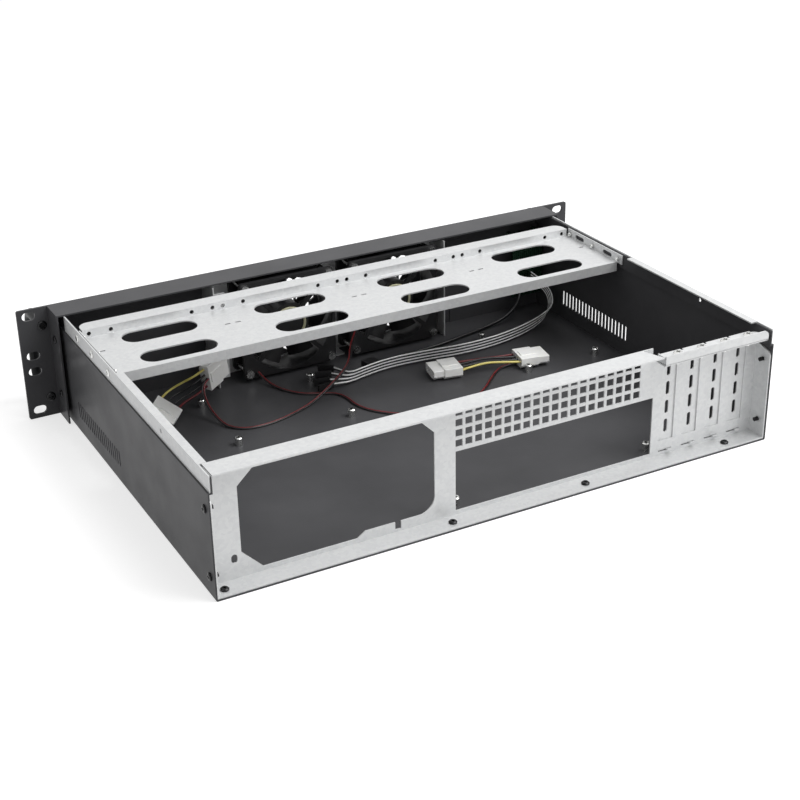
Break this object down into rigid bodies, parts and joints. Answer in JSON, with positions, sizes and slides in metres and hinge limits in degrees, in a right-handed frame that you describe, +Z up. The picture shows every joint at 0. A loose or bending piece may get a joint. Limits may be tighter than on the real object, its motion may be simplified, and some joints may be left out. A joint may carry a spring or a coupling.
{
  "type": "rackmount server case",
  "caption": "Short open rack case with folded rear panel, blanked expansion slots, drive tray, two fans, handles and internal power and front-panel leads.",
  "frame": {"origin": "middle of the case's footprint on the surface it stands on", "axes": "+X to the left seen from the rear, -Y the front with the rack panel and handles, +Z up"},
  "size_m": [0.4826, 0.342, 0.0881],
  "materials": {
    "black_paint": "satin powder coat",
    "galvanised": "galvanised sheet",
    "plated_screw": "bright plated",
    "black_screw": "black zinc",
    "black_handle": "satin",
    "fan_plastic": "matte",
    "circuit_board": "satin",
    "button_plastic": "satin",
    "light_lens": "translucent",
    "usb_shell": "plated",
    "plug_nylon": "natural white",
    "black_housing": "matte",
    "insulation_yellow": "smooth",
    "insulation_red": "smooth",
    "insulation_black": "smooth",
    "insulation_white": "smooth"
  },
  "bodies": {
    "case": {"cable_housing": "black_housing", "chassis_tray": "black_paint", "control_board": "circuit_board", "control_cable": "insulation_black", "cover_rail_left": "galvanised", "cover_rail_right": "galvanised", "drive_tray": "galvanised", "fan_1_frame": "fan_plastic", "fan_2_frame": "fan_plastic", "fan_bracket": "galvanised", "fan_lead_left_black": "insulation_black", "fan_lead_left_red": "insulation_red", "fan_lead_right_black": "insulation_black", "fan_lead_right_red": "insulation_red", "fan_screws": "plated_screw", "front_panel": "black_paint", "handle_left": "black_handle", "handle_right": "black_handle", "handle_screws": "black_screw", "indicator_lights": "light_lens", "lead_headers": "black_housing", "panel_lead_1": "insulation_black", "panel_lead_2": "insulation_white", "panel_lead_3": "insulation_black", "panel_lead_4": "insulation_white", "panel_lead_5": "insulation_black", "panel_lead_6": "insulation_white", "panel_lead_7": "insulation_black", "panel_lead_8": "insulation_white", "panel_screws": "black_screw", "power_lead_left_black_a": "insulation_black", "power_lead_left_black_b": "insulation_black", "power_lead_left_red": "insulation_red", "power_lead_left_yellow": "insulation_yellow", "power_lead_right_black_a": "insulation_black", "power_lead_right_black_b": "insulation_black", "power_lead_right_red": "insulation_red", "power_lead_right_yellow": "insulation_yellow", "power_plug_1": "plug_nylon", "power_plug_2": "plug_nylon", "power_plug_3": "plug_nylon", "power_plug_4": "plug_nylon", "rear_panel": "galvanised", "rear_screws": "black_screw", "slot_clamp_bar": "galvanised", "slot_cover_1": "galvanised", "slot_cover_2": "galvanised", "slot_cover_3": "galvanised", "slot_cover_4": "galvanised", "slot_screws": "plated_screw", "standoffs": "plated_screw", "tray_screws": "plated_screw", "usb_socket": "usb_shell"},
    "fan_1_rotor": {"fan_1_rotor": "fan_plastic"},
    "fan_2_rotor": {"fan_2_rotor": "fan_plastic"},
    "power_button": {"power_button": "button_plastic"},
    "reset_button": {"reset_button": "button_plastic"}
  },
  "joints": [
    {"name": "fan_1_spin", "type": "hinge", "parent": "case", "child": "fan_1_rotor", "pos_m": [0.0355, -0.1185, 0.044], "axis": [0, 1, 0], "continuous": true},
    {"name": "fan_2_spin", "type": "hinge", "parent": "case", "child": "fan_2_rotor", "pos_m": [-0.0585, -0.1185, 0.044], "axis": [0, 1, 0], "continuous": true},
    {"name": "power_button_press", "type": "slide", "parent": "case", "child": "power_button", "axis": [0, 1, 0], "range_m": [0, 0.0015], "stiffness_N_per_m": 600, "springref_m": -0.0005},
    {"name": "reset_button_press", "type": "slide", "parent": "case", "child": "reset_button", "axis": [0, 1, 0], "range_m": [0, 0.0015], "stiffness_N_per_m": 600, "springref_m": -0.0005}
  ]
}
